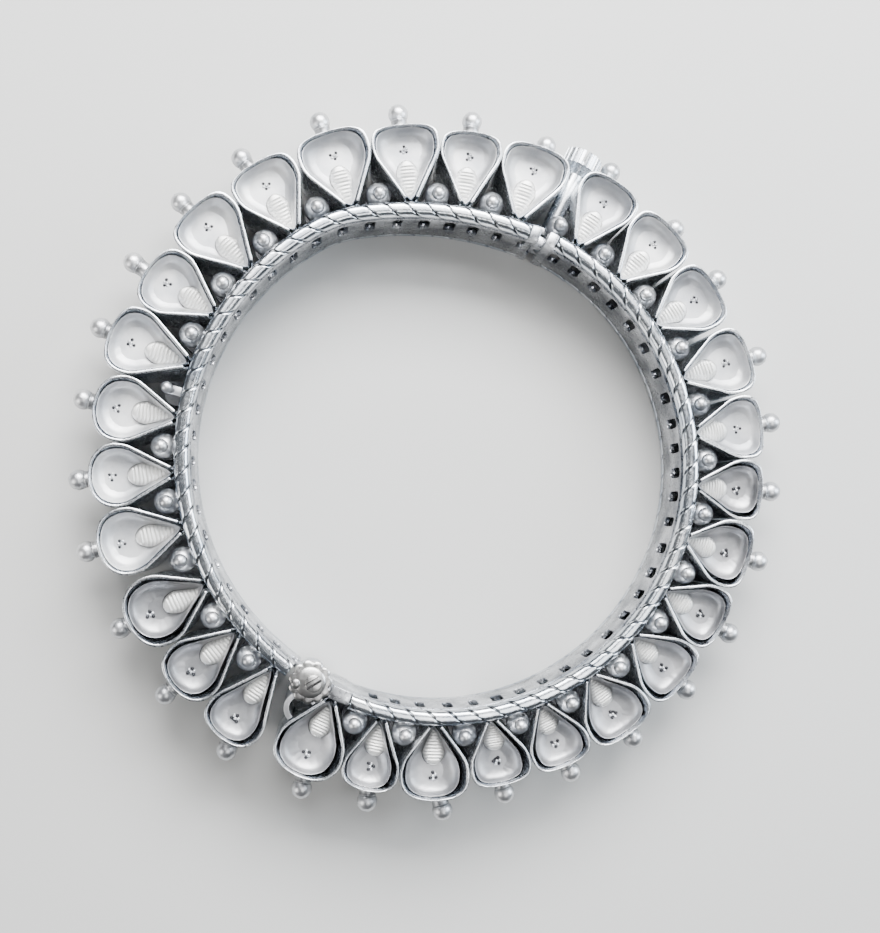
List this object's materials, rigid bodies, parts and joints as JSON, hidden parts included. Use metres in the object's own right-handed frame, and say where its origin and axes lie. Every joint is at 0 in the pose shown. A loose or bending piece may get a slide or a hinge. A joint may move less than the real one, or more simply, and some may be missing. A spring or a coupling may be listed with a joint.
{
  "type": "hinged bangle",
  "caption": "Hinged silver bangle of deep drop-shaped cups with ribbed tongues and tip beads round a pierced band with twisted wire rims, opened by a radial screw and a pin hinge.",
  "frame": {"origin": "centre of the wrist opening on the plane that the far rims rest on", "axes": "+Z along the bangle's axis towards the face that the picture shows, +X to the picture's right, +Y to the picture's top"},
  "size_m": [0.0922, 0.0923, 0.012],
  "materials": {
    "band": "worn frosted silver",
    "rim_wire": "rubbed bright silver",
    "cup": "frosted silver with bright edges",
    "pin_cap": "dull silver",
    "screw": "dull silver"
  },
  "bodies": {
    "half_long": {"band_long": "band", "rim_wire_top_long": "rim_wire", "rim_wire_bottom_long": "rim_wire", "petal_04": "cup", "petal_05": "cup", "petal_06": "cup", "petal_07": "cup", "petal_08": "cup", "petal_09": "cup", "petal_10": "cup", "petal_11": "cup", "petal_12": "cup", "petal_13": "cup", "petal_14": "cup", "petal_15": "cup", "petal_16": "cup", "petal_17": "cup", "petal_18": "cup", "hinge_pin": "pin_cap"},
    "half_short": {"band_short": "band", "rim_wire_top_short": "rim_wire", "rim_wire_bottom_short": "rim_wire", "petal_19": "cup", "petal_20": "cup", "petal_21": "cup", "petal_22": "cup", "petal_23": "cup", "petal_24": "cup", "petal_25": "cup", "petal_26": "cup", "petal_27": "cup", "petal_28": "cup", "petal_29": "cup", "petal_01": "cup", "petal_02": "cup", "petal_03": "cup"},
    "clasp_screw": {"clasp_screw": "screw"}
  },
  "joints": [
    {"name": "hinge_swing", "type": "hinge", "parent": "half_long", "child": "half_short", "pos_m": [-0.01599, -0.02726, 0.006], "axis": [0, 0, 1], "range_deg": [0, 12]},
    {"name": "screw_slide", "type": "slide", "parent": "half_long", "child": "clasp_screw", "axis": [0.4368, 0.8996, 0], "range_m": [0, 0.0035]}
  ]
}
